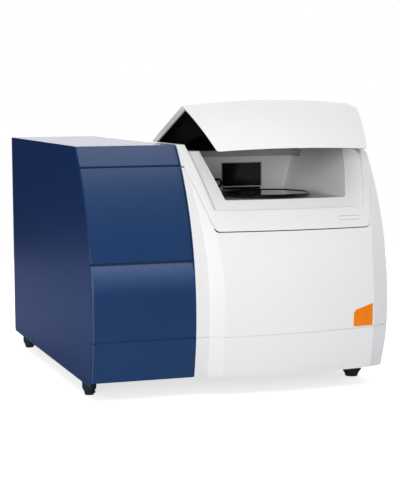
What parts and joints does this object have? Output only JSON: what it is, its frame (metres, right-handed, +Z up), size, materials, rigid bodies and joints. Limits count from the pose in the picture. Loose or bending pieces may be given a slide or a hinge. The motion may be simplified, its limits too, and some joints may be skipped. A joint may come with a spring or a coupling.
{
  "type": "near-infrared analyzer",
  "caption": "Bench spectrometer: blue electronics bay beside a white bowed housing, lifting lid over a recessed compartment with a driven turntable.",
  "frame": {"origin": "on the table under the middle of the machine's footprint", "axes": "+Z up, front towards -Y, blue bay at -X"},
  "size_m": [0.372, 0.4922, 0.349],
  "materials": {
    "blue_paint": "fine textured satin",
    "blue_side_paint": "fine textured satin",
    "dark_steel": "matte",
    "white_housing": "satin",
    "white_key": "satin",
    "grey_lining": "satin",
    "pale_trim": "satin",
    "black_gloss": "gloss",
    "black_matte": "matte",
    "bright_metal": "bright",
    "steel": "brushed",
    "black_rubber": "matte",
    "black_steel": "matte",
    "dark_glass": "polished",
    "alloy": "machined",
    "motor_black": "satin",
    "rear_paint": "textured",
    "black_cast": "black anodised",
    "mirror": "polished",
    "clear_glass": "polished",
    "board_green": "coated"
  },
  "bodies": {
    "housing": {"blue_brow_fascia": "blue_paint", "blue_upper_front_panel": "blue_paint", "blue_lower_front_panel": "blue_paint", "blue_base_skirt": "blue_paint", "blue_side_cover": "blue_side_paint", "blue_front_frame": "dark_steel", "white_base_skirt": "white_housing", "white_front_cover": "white_housing", "white_side_panel": "white_housing", "white_top_cover": "white_housing", "compartment_bezel": "white_housing", "compartment_tub": "grey_lining", "window_frame": "pale_trim", "window_pane": "black_gloss", "hinge_pins": "steel", "mouth_gasket": "black_rubber", "hinge_rail": "black_steel", "turntable_bearing": "steel", "drive_belt": "black_rubber", "turntable_motor": "motor_black", "motor_bracket": "steel", "base_pan": "dark_steel", "centre_divider": "steel", "rubber_feet": "black_rubber", "rear_panel": "rear_paint", "housing_screws": "steel", "fan_frame": "black_matte", "fan_guard": "bright_metal", "power_inlet": "black_matte", "data_ports": "bright_metal", "optical_bench": "alloy", "bench_dampers": "black_rubber", "monochromator_housing": "black_cast", "monochromator_cover": "black_cast", "beam_mirrors": "mirror", "slit_plates": "steel", "scan_motor": "motor_black", "lamp_house": "alloy", "reflector_lamp": "clear_glass", "filter_motor": "motor_black", "fold_block": "alloy", "detector_head": "black_cast", "measuring_window": "clear_glass", "main_board": "board_green", "power_supply": "steel"},
    "lid": {"lid_shell": "white_housing", "lid_liner": "black_matte", "lid_hinge_knuckles": "black_matte"},
    "key": {"bezel_key": "white_key"},
    "locking_knob": {"knob_grip": "black_matte", "knob_screw": "bright_metal"},
    "turntable": {"turntable": "black_gloss", "turntable_glass": "dark_glass", "hub_pulley": "black_matte"},
    "motor_rotor": {"motor_pulley": "alloy"},
    "fan": {"fan_rotor": "black_matte"},
    "grating": {"grating_mount": "alloy", "diffraction_grating": "mirror"},
    "filters": {"filter_wheel": "black_cast"},
    "rocker": {"power_rocker": "black_gloss"}
  },
  "joints": [
    {"name": "lid_hinge", "type": "hinge", "parent": "housing", "child": "lid", "pos_m": [0, -0.01384, 0.288], "axis": [-1, 0, 0], "range_deg": [-19.7, 25]},
    {"name": "key_press", "type": "slide", "parent": "housing", "child": "key", "axis": [0, 1, 0], "range_m": [0, 0.001], "stiffness_N_per_m": 400},
    {"name": "knob_turn", "type": "hinge", "parent": "housing", "child": "locking_knob", "pos_m": [0.04232, 0.00216, 0.2386], "axis": [0, -1, 0], "range_deg": [0, 90]},
    {"name": "turntable_spin", "type": "hinge", "parent": "housing", "child": "turntable", "pos_m": [0.064, -0.12504, 0.229], "axis": [0, 0, 1], "continuous": true},
    {"name": "motor_spin", "type": "hinge", "parent": "housing", "child": "motor_rotor", "pos_m": [0.064, -0.04104, 0.2], "axis": [0, 0, 1], "continuous": true},
    {"name": "fan_spin", "type": "hinge", "parent": "housing", "child": "fan", "pos_m": [-0.124, 0.22616, 0.208], "axis": [0, 1, 0], "continuous": true},
    {"name": "grating_scan", "type": "hinge", "parent": "housing", "child": "grating", "pos_m": [0.059, -0.01384, 0.09799], "axis": [0, 0, 1], "range_deg": [-25, 25]},
    {"name": "filter_index", "type": "hinge", "parent": "housing", "child": "filters", "pos_m": [0.116, 0.11516, 0.09799], "axis": [0, 1, 0], "continuous": true},
    {"name": "rocker_tip", "type": "hinge", "parent": "housing", "child": "rocker", "pos_m": [-0.124, 0.23856, 0.0815], "axis": [1, 0, 0], "range_deg": [0, 14]}
  ],
  "couplings": [
    {"joint": "motor_spin", "follows": "turntable_spin", "ratio": 4}
  ]
}
